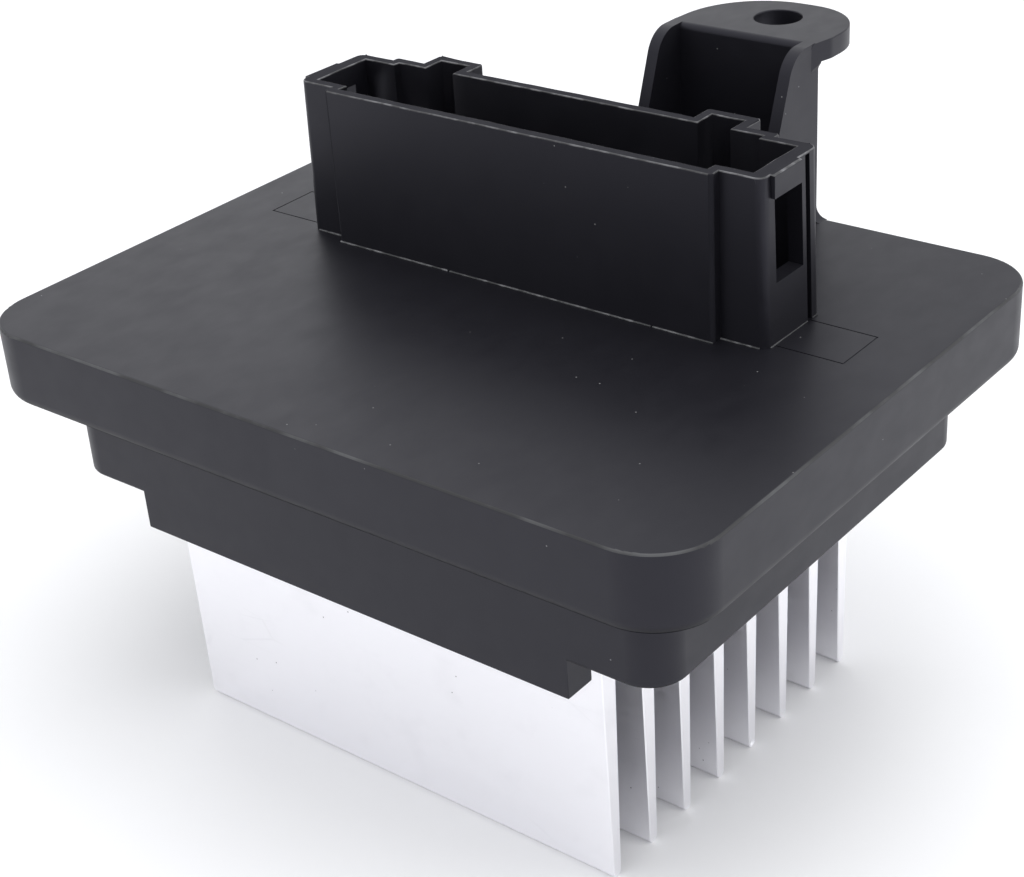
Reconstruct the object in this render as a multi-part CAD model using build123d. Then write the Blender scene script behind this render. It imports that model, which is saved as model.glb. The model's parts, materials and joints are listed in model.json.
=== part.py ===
from build123d import *

from math import atan2, degrees
import os

# Blower motor resistor: a moulded mounting flange with a plug socket and a screw ear on top,
# a finned aluminium heat sink below, and the electronics sealed between them.
# Millimetres. The origin is the middle of the flange's seating face, +Z points at the socket,
# +X runs along the socket and +Y towards the screw ear.

# Flange
flange_length = 90.0
flange_width = 68.5
flange_thickness = 8.5
flange_corner_radius = 7.0
flange_lower_edge_radius = 1.4
flange_upper_edge_radius = 0.3

# Skirt below the flange, and the lip that hangs from its front face
skirt_length = 78.2
skirt_back_wall = 4.3
skirt_depth = 10.3
skirt_corner_radius = 4.0
skirt_edge_radius = 0.4
lip_length = 57.0
lip_thickness = 3.7
lip_drop = 4.3
join_overlap = 2.0

# Cavity for the electronics, and the ledge round its mouth that the heat sink seats on
roof_thickness = 2.5
ledge_side_width = 2.8
ledge_end_width = 2.7
cavity_corner_radius = 2.0

# Heat sink, one extrusion along X
sink_length = 57.6
sink_base_thickness = 4.0
sink_side_margin = 0.81
sink_seat_clearance = 0.2
fin_count = 8
fin_pitch = 6.34
fin_root_thickness = 2.4
fin_tip_thickness = 1.2
fin_height = 29.9
fin_root_radius = 0.4
fin_root_overlap = 0.5
fin_tip_rounding = 0.49
gasket_thickness = 0.8
gasket_width = 2.0
gasket_edge_clearance = 0.2

# Screws that hold the heat sink, driven up between the fins
sink_screw_diameter = 2.2
sink_screw_head_diameter = 3.1
sink_screw_head_height = 1.5
sink_screw_grip = 8.0
sink_screw_spread = 49.0
sink_screw_hole_clearance = 0.3
screw_pilot_clearance = 0.05
screw_tip_clearance = 0.6
sink_boss_diameter = 7.0
drive_diameter = 1.6
drive_depth = 0.8
head_rounding = 0.4

# Plug socket: a thin wall standing on the flange, open at the top
socket_centre_x = 0.15
socket_length = 60.5
socket_height = 17.75
socket_wall = 1.2
socket_end_wall = 1.7
socket_front_y = 1.9
socket_front_end_y = 3.2
socket_back_y = 14.25
socket_back_end_y = 13.4
socket_pocket_y = 17.0
socket_end_section = 5.3
socket_end_lean = 0.5
socket_corner_radius = 1.0
socket_step_radius = 0.4
pocket_width = 6.3
pocket_offset = 17.95

# Latch window, pad and corner groove in each end wall of the socket
window_width = 5.0
window_centre_y = 7.75
window_bottom = 6.4
window_top = 15.35
pad_proud = 0.5
pad_width = 5.0
pad_centre_y = 7.15
pad_edge_chamfer = 0.15
groove_width = 0.8
groove_depth = 0.8
groove_top_margin = 0.2
corner_rib_width = 1.7

# Fine line that the mould insert left on the flange round the socket
insert_line_length = 76.2
insert_line_front_y = 4.6
insert_line_back_y = 11.4
insert_line_width = 0.15
insert_line_depth = 0.1

# Screw ear: a plate on a channel-shaped leg at the flange's back edge
ear_leg_centre_x = 8.5
ear_leg_width = 18.2
ear_height = 20.2
ear_web_thickness = 1.5
ear_gusset_thickness = 1.4
ear_gusset_foot_depth = 11.0
ear_gusset_top_depth = 3.4
ear_gusset_radius = 3.5
ear_foot_radius = 1.4
ear_neck_radius = 1.0
ear_plate_centre_x = 8.9
ear_plate_width = 18.9
ear_plate_thickness = 2.2
ear_plate_reach = 12.3
ear_plate_left_radius = 9.6
ear_plate_right_radius = 7.4
ear_plate_flare = 3.0
ear_plate_flare_radius = 3.0
ear_edge_radius = 0.7
ear_hole_diameter = 5.4
ear_hole_x = 9.4
ear_hole_reach = 6.7

# Circuit board and the posts that it hangs from
board_thickness = 1.6
board_gap_above = 3.4
board_edge_clearance = 0.6
board_notch_clearance = 0.5
board_screw_diameter = 2.2
board_screw_head_diameter = 4.0
board_screw_head_height = 1.4
board_screw_grip = 4.4
board_screw_hole_clearance = 0.3
board_screw_spread = 45.0
board_screw_y = -2.0
post_diameter = 5.4

# Blade terminals: name, place along the socket, blade width
blade_y = 7.95
blade_thickness = 0.8
blade_reach = 11.5
blade_tip_chamfer = 0.25
blade_slot_clearance = 0.15
tail_width = 1.2
tail_length = 2.4
wide_blade = 6.3
narrow_blade = 2.8
blades = (
    ("supply_terminal", -20.0, wide_blade),
    ("control_terminal", -7.5, narrow_blade),
    ("feedback_terminal", 1.0, narrow_blade),
    ("ground_terminal", 9.5, wide_blade),
    ("motor_terminal", 20.0, wide_blade),
)

# Power transistors lying flat on the heat sink, with their pads, screws and washers
transistor_centres = (-12.0, 12.0)
transistor_names = ("left", "right")
transistor_back_y = 0.5
transistor_body_width = 10.2
transistor_body_length = 9.2
transistor_body_height = 4.5
transistor_body_chamfer = 0.4
tab_length = 15.6
tab_thickness = 1.3
tab_corner_chamfer = 1.0
tab_hole_diameter = 3.6
tab_hole_from_end = 2.8
lead_pitch = 2.54
lead_width = 0.8
lead_thickness = 0.5
lead_run = 3.6
lead_height = 2.5
lead_above_board = 0.8
hole_clearance = 0.2
pad_thickness = 0.3
pad_margin = 1.0
washer_diameter = 6.4
washer_thickness = 0.5
tab_screw_diameter = 3.0
tab_screw_head_diameter = 5.5
tab_screw_head_height = 2.0
tab_screw_bite = 2.6

# Electrolytic capacitor lying under the board
capacitor_diameter = 6.3
capacitor_length = 11.2
capacitor_edge_radius = 0.5
capacitor_from_back_edge = 4.7
capacitor_board_gap = 0.3
capacitor_groove_depth = 0.35
capacitor_groove_width = 0.8
capacitor_groove_from_end = 1.6
capacitor_lead_diameter = 0.6
capacitor_lead_pitch = 2.5
capacitor_lead_run = 1.6

# Shunt strip that bridges two board slots
shunt_from_front_edge = 3.5
shunt_span = 14.0
shunt_width = 3.0
shunt_thickness = 0.8
shunt_drop = 2.6
shunt_bend_radius = 1.0

# Parts soldered on top of the board
chip_length = 4.9
chip_width = 3.9
chip_height = 1.5
chip_standoff = 0.15
chip_lead_count = 4
chip_lead_pitch = 1.27
chip_lead_width = 0.4
chip_lead_thickness = 0.2
chip_lead_reach = 1.05
chip_lead_foot = 0.6
chip_edge_chamfer = 0.25
chip_x = -4.0
chip_from_front_edge = 13.3
small_part_length = 2.0
small_part_width = 1.25
small_part_height = 0.55
small_part_pitch = 2.6
small_part_edge_radius = 0.12
resistor_count = 5
resistor_row_x = -15.5
small_rows_from_front_edge = 7.8
ceramic_length = 3.2
ceramic_width = 1.6
ceramic_height = 1.1
ceramic_pitch = 4.6
ceramic_count = 3
ceramic_row_x = 4.0
diode_length = 4.4
diode_width = 3.6
diode_height = 2.2
diode_edge_chamfer = 0.3
diode_tab_length = 0.8
diode_tab_width = 1.98
diode_tab_thickness = 0.3
diode_tab_clearance = 0.09
diode_x = 6.0

# How far a cut runs past the face it starts from, and how near two places count as one
cut_margin = 1.0
same_place = 0.01

# Levels and edges that follow from the sizes above
sink_base_width = (fin_count - 1) * fin_pitch + fin_root_thickness + 2 * sink_side_margin
seat_length = sink_length + 2 * sink_seat_clearance
seat_width = sink_base_width + 2 * sink_seat_clearance
skirt_width = lip_thickness + seat_width + skirt_back_wall
cavity_length = seat_length - 2 * ledge_end_width
cavity_width = seat_width - 2 * ledge_side_width
board_length = cavity_length - 2 * board_edge_clearance
board_width = cavity_width - 2 * board_edge_clearance
flange_top = flange_thickness
flange_back_y = flange_width / 2
skirt_front_y = -skirt_width / 2
skirt_bottom = -skirt_depth
lip_back_y = skirt_front_y + lip_thickness
sink_centre_y = lip_back_y + seat_width / 2
sink_top = skirt_bottom + sink_base_thickness
ledge_level = sink_top + gasket_thickness
cavity_top = flange_top - roof_thickness
socket_top = flange_top + socket_height
socket_left_x = socket_centre_x - socket_length / 2
socket_right_x = socket_centre_x + socket_length / 2
step_left_x = socket_left_x + socket_end_section
step_right_x = socket_right_x - socket_end_section
pocket_centres = (socket_centre_x - pocket_offset, socket_centre_x + pocket_offset)
ear_top = flange_top + ear_height
ear_front_y = flange_back_y - ear_web_thickness
ear_hole_y = ear_front_y + ear_hole_reach
board_top = cavity_top - board_gap_above
board_bottom = board_top - board_thickness
board_front_y = sink_centre_y - board_width / 2
board_back_y = sink_centre_y + board_width / 2
tab_bottom = sink_top + pad_thickness
tab_top = tab_bottom + tab_thickness
lead_level = tab_bottom + lead_height
lead_tip = board_top + lead_above_board
tab_front_y = transistor_back_y - tab_length
tab_hole_y = tab_front_y + tab_hole_from_end
tab_screw_seat = tab_top + washer_thickness
lead_upright_y = transistor_back_y + lead_run - lead_thickness / 2
capacitor_y = board_back_y - capacitor_from_back_edge
capacitor_z = board_bottom - capacitor_board_gap - capacitor_diameter / 2
capacitor_lead_x = capacitor_length / 2 + capacitor_lead_run - capacitor_lead_diameter / 2
shunt_y = board_front_y + shunt_from_front_edge
chip_y = board_front_y + chip_from_front_edge
small_rows_y = board_front_y + small_rows_from_front_edge
sink_screw_rows = (
    sink_centre_y - fin_pitch * (fin_count - 2) / 2,
    sink_centre_y + fin_pitch * (fin_count - 2) / 2,
)
sink_screw_points = [
    (side * sink_screw_spread / 2, row)
    for side in (-1, 1)
    for row in sink_screw_rows
]
board_screw_points = [(side * board_screw_spread / 2, board_screw_y) for side in (-1, 1)]


def block(length, width, low, high, x=0.0, y=0.0):
    """A box from its plan centre and its two levels."""
    return Pos(x, y, (low + high) / 2) * Box(length, width, high - low)


def rounded_block(length, width, low, high, radius, x=0.0, y=0.0):
    """A box with rounded upright edges."""
    plan = Pos(x, y, low) * RectangleRounded(length, width, radius)
    return extrude(plan, high - low)


def rod(diameter, low, high, x=0.0, y=0.0):
    """An upright cylinder from its centre and its two levels."""
    return Pos(x, y, (low + high) / 2) * Cylinder(diameter / 2, high - low)


def prism(points, low, high):
    """An upright prism over a plan outline."""
    plan = make_face(Polyline([(x, y, low) for x, y in points], close=True))
    return extrude(plan, high - low, dir=(0, 0, 1))


def edges_at(solid, level):
    """The edges that lie flat at one level."""
    return [e for e in solid.edges() if abs(e.bounding_box().min.Z - level) < same_place
            and abs(e.bounding_box().max.Z - level) < same_place]


def upright_edges(solid):
    """The straight upright edges."""
    return solid.edges().filter_by(Axis.Z)


def tall_edges(solid):
    """The edges that run from the socket's foot to its rim."""
    return [e for e in solid.edges() if e.length > socket_height - same_place]


def corner_edges(solid):
    """The socket's four end corners."""
    return [e for e in tall_edges(solid)
            if min(abs(e.center().X - socket_left_x), abs(e.center().X - socket_right_x)) < socket_end_lean]


def step_edges(solid):
    """The socket's other outward edges, at the steps and the key pockets."""
    chosen = []
    for edge in tall_edges(solid):
        x, y = edge.center().X, edge.center().Y
        at_step = min(abs(x - step_left_x), abs(x - step_right_x)) < same_place
        at_face = min(abs(y - socket_front_y), abs(y - socket_back_y)) < same_place
        if abs(y - socket_pocket_y) < same_place or (at_step and at_face):
            chosen.append(edge)
    return chosen


def socket_outline(wall, end_wall):
    """Plan outline of the socket, drawn in from the outer face by the wall sizes."""
    left = socket_left_x + end_wall
    right = socket_right_x - end_wall
    step_left = step_left_x + wall
    step_right = step_right_x - wall
    points = [
        (left, socket_front_end_y + wall),
        (step_left, socket_front_end_y + wall),
        (step_left, socket_front_y + wall),
        (step_right, socket_front_y + wall),
        (step_right, socket_front_end_y + wall),
        (right, socket_front_end_y + wall),
        (right, socket_back_end_y - wall),
        (step_right, socket_back_end_y - wall),
        (step_right, socket_back_y - wall),
    ]
    for centre in reversed(pocket_centres):
        half = pocket_width / 2 - wall
        points += [
            (centre + half, socket_back_y - wall),
            (centre + half, socket_pocket_y - wall),
            (centre - half, socket_pocket_y - wall),
            (centre - half, socket_back_y - wall),
        ]
    points += [
        (step_left, socket_back_y - wall),
        (step_left, socket_back_end_y - wall),
        (left, socket_back_end_y - wall),
    ]
    return points


def leaning_prism(wall, end_wall):
    """Solid inside one socket outline, with both ends leaning in towards the rim."""
    sections = []
    for level, lean in ((flange_top, 0.0), (socket_top, socket_end_lean)):
        outline = socket_outline(wall, end_wall + lean)
        sections.append(make_face(Polyline([(x, y, level) for x, y in outline], close=True)))
    return loft(sections, ruled=True)


def make_socket():
    """Socket wall with its latch pads, windows and corner grooves."""
    outer = leaning_prism(0.0, 0.0)
    outer = fillet(corner_edges(outer), socket_corner_radius)
    outer = fillet(step_edges(outer), socket_step_radius)
    lean_angle = degrees(atan2(socket_end_lean, socket_height))
    for side, foot_x in ((-1, socket_left_x), (1, socket_right_x)):
        face_x = foot_x - side * socket_end_lean
        pad = block(2 * pad_proud, pad_width, flange_top + window_top, socket_top, face_x, pad_centre_y)
        top_edges = pad.edges().filter_by(Axis.Y).group_by(Axis.Z)[-1].sort_by(Axis.X)
        pad = chamfer(top_edges[-1] if side > 0 else top_edges[0], pad_edge_chamfer)
        outer += pad
        groove_y = socket_back_end_y - corner_rib_width - groove_width / 2
        groove = block(2 * groove_depth, groove_width, 0, socket_height - groove_top_margin)
        outer -= Pos(foot_x, groove_y, flange_top) * Rot(0, -side * lean_angle, 0) * groove
    inner = leaning_prism(socket_wall, socket_end_wall)
    socket = outer - inner
    for face_x in (socket_left_x, socket_right_x):
        low = flange_top + window_bottom
        high = flange_top + window_top
        reach = 2 * (socket_end_wall + socket_end_lean + pad_proud)
        socket -= block(reach, window_width, low, high, face_x, window_centre_y)
    return socket


def ear_plate_block(low, high):
    """Round-ended plate between two levels, flared from the leg's right edge to its own width."""
    left = ear_plate_centre_x - ear_plate_width / 2
    right = ear_plate_centre_x + ear_plate_width / 2
    back = ear_front_y + ear_plate_reach
    points = [
        (left, ear_front_y),
        (ear_leg_centre_x + ear_leg_width / 2, ear_front_y),
        (right, ear_front_y + ear_plate_flare),
        (right, back),
        (left, back),
    ]
    plate = prism(points, low, high)
    radii = (ear_plate_flare_radius, ear_plate_right_radius, ear_plate_left_radius)
    for (x, y), radius in zip(points[2:], radii):
        plate = fillet(upright_edges(plate).sort_by_distance((x, y, high))[0], radius)
    return plate


def make_ear():
    """Screw ear: web, two gussets, foot fillets and the round-ended plate."""
    left = ear_leg_centre_x - ear_leg_width / 2
    web_y = (ear_front_y + flange_back_y) / 2
    plate_bottom = ear_top - ear_plate_thickness
    ear = block(ear_leg_width, ear_web_thickness, flange_top, plate_bottom, ear_leg_centre_x, web_y)
    side = Plane(origin=(left, ear_front_y, flange_top), x_dir=(0, 1, 0), z_dir=(1, 0, 0))
    profile = Polyline(
        (ear_web_thickness, 0),
        (ear_web_thickness, ear_height),
        (-ear_gusset_top_depth, ear_height),
        (-ear_gusset_foot_depth, 0),
        close=True,
    )
    gusset = make_face(profile)
    corner = gusset.vertices().sort_by_distance((-ear_gusset_top_depth, ear_height, 0))[0]
    gusset = fillet(corner, ear_gusset_radius)
    gusset = extrude(side * gusset, ear_gusset_thickness)
    ear += gusset
    ear += Pos(ear_leg_width - ear_gusset_thickness, 0, 0) * gusset
    for hand in (-1, 1):
        edge_x = ear_leg_centre_x + hand * ear_leg_width / 2
        foot = block(ear_foot_radius, ear_web_thickness, flange_top, flange_top + ear_foot_radius,
                     edge_x + hand * ear_foot_radius / 2, web_y)
        scoop = Pos(edge_x + hand * ear_foot_radius, web_y, flange_top + ear_foot_radius)
        scoop = scoop * Rot(90, 0, 0) * Cylinder(ear_foot_radius, 2 * ear_web_thickness)
        ear += foot - scoop
    plate = ear_plate_block(plate_bottom, ear_top)
    front = plate.edges().filter_by(Axis.X).sort_by(Axis.Y)[:2].sort_by(Axis.Z)[-1]
    ear += fillet(front, ear_edge_radius)
    right = left + ear_leg_width
    neck_bottom = plate_bottom - ear_neck_radius
    neck = block(ear_neck_radius, ear_web_thickness, neck_bottom, ear_top - ear_edge_radius,
                 right + ear_neck_radius / 2, web_y)
    neck &= ear_plate_block(neck_bottom, ear_top)
    scoop = Pos(right + ear_neck_radius, web_y, neck_bottom)
    ear += neck - scoop * Rot(90, 0, 0) * Cylinder(ear_neck_radius, 2 * ear_web_thickness)
    ear -= rod(ear_hole_diameter, plate_bottom - cut_margin, ear_top + cut_margin, ear_hole_x, ear_hole_y)
    return ear


def insert_line():
    """Fine engraved line on the flange, on both sides of the socket."""
    width = insert_line_back_y - insert_line_front_y
    middle = (insert_line_back_y + insert_line_front_y) / 2
    low = flange_top - insert_line_depth
    high = flange_top + cut_margin
    ring = block(insert_line_length, width, low, high, 0, middle)
    ring -= block(insert_line_length - 2 * insert_line_width, width - 2 * insert_line_width,
                  low, high, 0, middle)
    return ring - block(socket_length, flange_width, low, high, socket_centre_x, 0)


def make_housing():
    """The whole black moulding: flange, skirt, lip, socket and ear, with the cavity inside."""
    flange = rounded_block(flange_length, flange_width, 0, flange_top, flange_corner_radius)
    flange = fillet(edges_at(flange, 0), flange_lower_edge_radius)
    flange = fillet(edges_at(flange, flange_top), flange_upper_edge_radius)
    skirt = rounded_block(skirt_length, skirt_width, skirt_bottom, join_overlap, skirt_corner_radius)
    skirt = fillet(edges_at(skirt, skirt_bottom), skirt_edge_radius)
    lip_y = skirt_front_y + lip_thickness / 2
    lip = block(lip_length, lip_thickness, skirt_bottom - lip_drop, skirt_bottom + join_overlap, 0, lip_y)
    housing = flange + skirt + lip
    housing -= insert_line()

    housing -= block(seat_length, seat_width, skirt_bottom, ledge_level, 0, sink_centre_y)
    cavity = rounded_block(cavity_length, cavity_width, skirt_bottom, cavity_top,
                           cavity_corner_radius, 0, sink_centre_y)
    for x, y in sink_screw_points:
        cavity -= rod(sink_boss_diameter, ledge_level, cavity_top, x, y)
    for x, y in board_screw_points:
        cavity -= rod(post_diameter, board_top, cavity_top, x, y)
    housing -= cavity
    pilot = sink_screw_diameter + 2 * screw_pilot_clearance
    for x, y in sink_screw_points:
        housing -= rod(pilot, ledge_level, ledge_level + sink_screw_grip, x, y)
    for x, y in board_screw_points:
        pilot = board_screw_diameter + 2 * screw_pilot_clearance
        housing -= rod(pilot, board_top, board_top + board_screw_grip, x, y)

    housing += make_socket()
    housing += make_ear()
    for _, x, width in blades:
        housing -= block(width + 2 * blade_slot_clearance, blade_thickness + 2 * blade_slot_clearance,
                         cavity_top, flange_top, x, blade_y)
    return housing


def fin_profile(centre):
    """Section of one fin, tapering to a fully rounded tip."""
    section = make_face(Polyline(
        (centre - fin_root_thickness / 2, fin_root_overlap),
        (centre - fin_tip_thickness / 2, -fin_height),
        (centre + fin_tip_thickness / 2, -fin_height),
        (centre + fin_root_thickness / 2, fin_root_overlap),
        close=True,
    ))
    tips = section.vertices().sort_by(Axis.Y)[:2]
    return fillet(tips, fin_tip_thickness * fin_tip_rounding)


def make_heatsink():
    """Extruded heat sink: a base with fins, tapped for the transistors."""
    section = Pos(0, sink_base_thickness / 2) * Rectangle(sink_base_width, sink_base_thickness)
    for number in range(fin_count):
        section += fin_profile((number - (fin_count - 1) / 2) * fin_pitch)
    inside = sink_base_width / 2 - same_place
    roots = [v for v in section.vertices() if abs(v.Y) < same_place and abs(v.X) < inside]
    section = fillet(roots, fin_root_radius)
    plane = Plane(origin=(-sink_length / 2, sink_centre_y, skirt_bottom), x_dir=(0, 1, 0), z_dir=(1, 0, 0))
    sink = extrude(plane * section, sink_length)
    for x, y in sink_screw_points:
        hole = sink_screw_diameter + sink_screw_hole_clearance
        sink -= rod(hole, skirt_bottom, sink_top, x, y)
    for x in transistor_centres:
        hole = tab_screw_diameter + 2 * screw_pilot_clearance
        depth = tab_screw_bite + screw_tip_clearance
        sink -= rod(hole, sink_top - depth, sink_top, x, tab_hole_y)
    return sink


def make_gasket():
    """Rubber seal between the housing's ledge and the heat sink."""
    length = sink_length - 2 * gasket_edge_clearance
    width = sink_base_width - 2 * gasket_edge_clearance
    ring = block(length, width, sink_top, ledge_level, 0, sink_centre_y)
    inner = rounded_block(length - 2 * gasket_width, width - 2 * gasket_width, sink_top, ledge_level,
                          cavity_corner_radius, 0, sink_centre_y)
    for x, y in sink_screw_points:
        inner -= rod(sink_boss_diameter, sink_top, ledge_level, x, y)
    ring -= inner
    for x, y in sink_screw_points:
        hole = sink_screw_diameter + sink_screw_hole_clearance
        ring -= rod(hole, sink_top, ledge_level, x, y)
    return ring


def screw(shank, head, head_height, seat, tip, x, y):
    """Screw driven upwards: a domed head under its seat, a shank above it and a drive recess."""
    body = rod(head, seat - head_height, seat, x, y)
    body = fillet(edges_at(body, seat - head_height), head_height * head_rounding)
    body += rod(shank, seat, tip, x, y)
    low = seat - head_height
    recess = extrude(Pos(x, y, low) * RegularPolygon(drive_diameter / 2, 6), drive_depth)
    return body - recess


def make_board():
    """Circuit board, notched round the screw bosses and drilled for every leg."""
    board = block(board_length, board_width, board_bottom, board_top, 0, sink_centre_y)
    notch = sink_boss_diameter + 2 * board_notch_clearance
    for x, y in sink_screw_points:
        side = 1 if x > 0 else -1
        end = 1 if y > sink_centre_y else -1
        board -= rod(notch, board_bottom, board_top, x, y)
        board -= block(notch, notch, board_bottom, board_top, x + side * notch / 2, y)
        board -= block(notch, notch, board_bottom, board_top, x, y + end * notch / 2)
    hole = board_screw_diameter + board_screw_hole_clearance
    for x, y in board_screw_points:
        board -= rod(hole, board_bottom, board_top, x, y)
    for _, x, width in blades:
        for tail_x in tail_places(x, width):
            board -= block(tail_width + 2 * hole_clearance, blade_thickness + 2 * hole_clearance,
                           board_bottom, board_top, tail_x, blade_y)
    for x in transistor_centres:
        for number in (-1, 0, 1):
            board -= block(lead_width + 2 * hole_clearance, lead_thickness + 2 * hole_clearance,
                           board_bottom, board_top, x + number * lead_pitch, lead_upright_y)
    for side in (-1, 1):
        drill = capacitor_lead_diameter + 2 * hole_clearance
        y = capacitor_y + side * capacitor_lead_pitch / 2
        board -= rod(drill, board_bottom, board_top, capacitor_lead_x, y)
        board -= block(shunt_thickness + 2 * hole_clearance, shunt_width + 2 * hole_clearance,
                       board_bottom, board_top, side * (shunt_span - shunt_thickness) / 2, shunt_y)
    return board


def tail_places(x, width):
    """Where a terminal's solder tails stand: two under a wide blade, one under a narrow one."""
    if width >= wide_blade:
        reach = (width - tail_width) / 2
        return [x - reach, x + reach]
    return [x]


def make_terminal(x, width):
    """Blade terminal with a bevelled tip, shoulders on the board and solder tails through it."""
    blade = block(width, blade_thickness, board_top, flange_top + blade_reach, x, blade_y)
    blade = chamfer(edges_at(blade, flange_top + blade_reach), blade_tip_chamfer)
    for tail_x in tail_places(x, width):
        blade += block(tail_width, blade_thickness, board_top - tail_length, board_top, tail_x, blade_y)
    return blade


def make_transistor_body(x):
    """Moulded body of a power transistor, on top of the front of its tab."""
    middle_y = transistor_back_y - transistor_body_length / 2
    body = block(transistor_body_width, transistor_body_length, tab_bottom,
                 tab_bottom + transistor_body_height, x, middle_y)
    body -= block(transistor_body_width, transistor_body_length - tab_thickness, tab_bottom, tab_top,
                  x, middle_y - tab_thickness / 2)
    edges = edges_at(body, tab_bottom + transistor_body_height)
    body = chamfer(edges, transistor_body_chamfer)
    for number in (-1, 0, 1):
        body -= block(lead_width, 2 * tab_thickness, lead_level, lead_level + lead_thickness,
                      x + number * lead_pitch, transistor_back_y)
    return body


def make_transistor_frame(x):
    """Metal tab of a power transistor and its three legs, bent up through the board."""
    length = tab_length - tab_thickness
    tab = block(transistor_body_width, length, tab_bottom, tab_top, x, tab_front_y + length / 2)
    tab = chamfer(upright_edges(tab).group_by(Axis.Y)[0], tab_corner_chamfer)
    tab -= rod(tab_hole_diameter, tab_bottom, tab_top, x, tab_hole_y)
    legs = []
    for number in (-1, 0, 1):
        leg_x = x + number * lead_pitch
        start_y = transistor_back_y - tab_thickness
        end_y = transistor_back_y + lead_run
        leg = block(lead_width, end_y - start_y, lead_level, lead_level + lead_thickness,
                    leg_x, (start_y + end_y) / 2)
        leg += block(lead_width, lead_thickness, lead_level, lead_tip, leg_x, lead_upright_y)
        legs.append(leg)
    return Compound([solid for shape in [tab] + legs for solid in shape.solids()])


def make_thermal_pad(x):
    """Insulating pad between a transistor's tab and the heat sink."""
    length = tab_length + pad_margin
    pad = block(transistor_body_width + pad_margin, length, sink_top, tab_bottom, x,
                tab_front_y + tab_length / 2)
    return pad - rod(tab_hole_diameter, sink_top, tab_bottom, x, tab_hole_y)


def make_tab_screw(x):
    """Machine screw down through the washer, tab and pad into the heat sink."""
    top = tab_screw_seat + tab_screw_head_height
    body = rod(tab_screw_head_diameter, tab_screw_seat, top, x, tab_hole_y)
    body = fillet(edges_at(body, top), tab_screw_head_height * head_rounding)
    body += rod(tab_screw_diameter, sink_top - tab_screw_bite, tab_screw_seat, x, tab_hole_y)
    recess = Pos(x, tab_hole_y, top - drive_depth) * RegularPolygon(drive_diameter / 2, 6)
    return body - extrude(recess, drive_depth)


def make_washer(x):
    """Plain washer under a tab screw's head."""
    ring = rod(washer_diameter, tab_top, tab_screw_seat, x, tab_hole_y)
    return ring - rod(tab_screw_diameter + hole_clearance, tab_top, tab_screw_seat, x, tab_hole_y)


def make_capacitor_can():
    """Capacitor can with its crimped groove."""
    can = Rot(0, 90, 0) * Cylinder(capacitor_diameter / 2, capacitor_length)
    can = fillet(can.edges(), capacitor_edge_radius)
    ring_x = capacitor_length / 2 - capacitor_groove_from_end
    tube = capacitor_groove_width / 2
    ring = Rot(0, 90, 0) * Torus(capacitor_diameter / 2 + tube - capacitor_groove_depth, tube)
    can -= Pos(ring_x, 0, 0) * ring
    return Pos(0, capacitor_y, capacitor_z) * can


def make_capacitor_leads():
    """Two wires from the capacitor's end, bent up through the board."""
    leads = []
    for side in (-1, 1):
        y = capacitor_y + side * capacitor_lead_pitch / 2
        start = capacitor_length / 2
        wire = Pos((start + capacitor_lead_x) / 2, y, capacitor_z) * Rot(0, 90, 0) * Cylinder(
            capacitor_lead_diameter / 2, capacitor_lead_x - start)
        wire += Pos(capacitor_lead_x, y, capacitor_z) * Sphere(capacitor_lead_diameter / 2)
        wire += rod(capacitor_lead_diameter, capacitor_z, lead_tip, capacitor_lead_x, y)
        leads += wire.solids()
    return Compound(leads)


def make_shunt():
    """Current sensing strip, bent into a flat U with both feet in the board."""
    low = board_bottom - shunt_drop
    strip = block(shunt_span, shunt_width, low, lead_tip, 0, shunt_y)
    corners = [e for e in strip.edges().filter_by(Axis.Y) if abs(e.center().Z - low) < same_place]
    strip = fillet(corners, shunt_bend_radius)
    gap = block(shunt_span - 2 * shunt_thickness, shunt_width, low + shunt_thickness, lead_tip,
                0, shunt_y)
    return strip - gap


def make_chip_body():
    """Body of the control chip."""
    low = board_top + chip_standoff
    body = block(chip_length, chip_width, low, low + chip_height, chip_x, chip_y)
    return chamfer(edges_at(body, low + chip_height), chip_edge_chamfer)


def make_chip_leads():
    """Gull-wing legs along both sides of the control chip."""
    leads = []
    middle = board_top + chip_standoff + chip_height / 2
    for side in (-1, 1):
        wall_y = chip_y + side * chip_width / 2
        for number in range(chip_lead_count):
            x = chip_x + (number - (chip_lead_count - 1) / 2) * chip_lead_pitch
            reach = chip_lead_reach - chip_lead_foot
            low = middle - chip_lead_thickness / 2
            high = middle + chip_lead_thickness / 2
            drop_y = wall_y + side * (reach - chip_lead_thickness / 2)
            foot_y = wall_y + side * (reach - chip_lead_thickness + chip_lead_foot / 2)
            lead = block(chip_lead_width, reach, low, high, x, wall_y + side * reach / 2)
            lead += block(chip_lead_width, chip_lead_thickness, board_top, high, x, drop_y)
            lead += block(chip_lead_width, chip_lead_foot, board_top, board_top + chip_lead_thickness,
                          x, foot_y)
            leads += lead.solids()
    return Compound(leads)


def make_row(count, pitch, start_x, length, width, height):
    """A row of like chips on the board, as separate solids."""
    chips = []
    for number in range(count):
        chip = block(length, width, board_top, board_top + height, start_x + number * pitch, small_rows_y)
        chip = fillet(chip.edges().filter_by(Axis.Y), small_part_edge_radius)
        chips += chip.solids()
    return Compound(chips)


def make_diode_body():
    """Body of the flyback diode."""
    body = block(diode_length, diode_width, board_top, board_top + diode_height, diode_x, chip_y)
    body -= block(diode_length + cut_margin, diode_tab_width + 2 * diode_tab_clearance,
                  board_top, board_top + diode_tab_thickness, diode_x, chip_y)
    return chamfer(edges_at(body, board_top + diode_height), diode_edge_chamfer)


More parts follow.
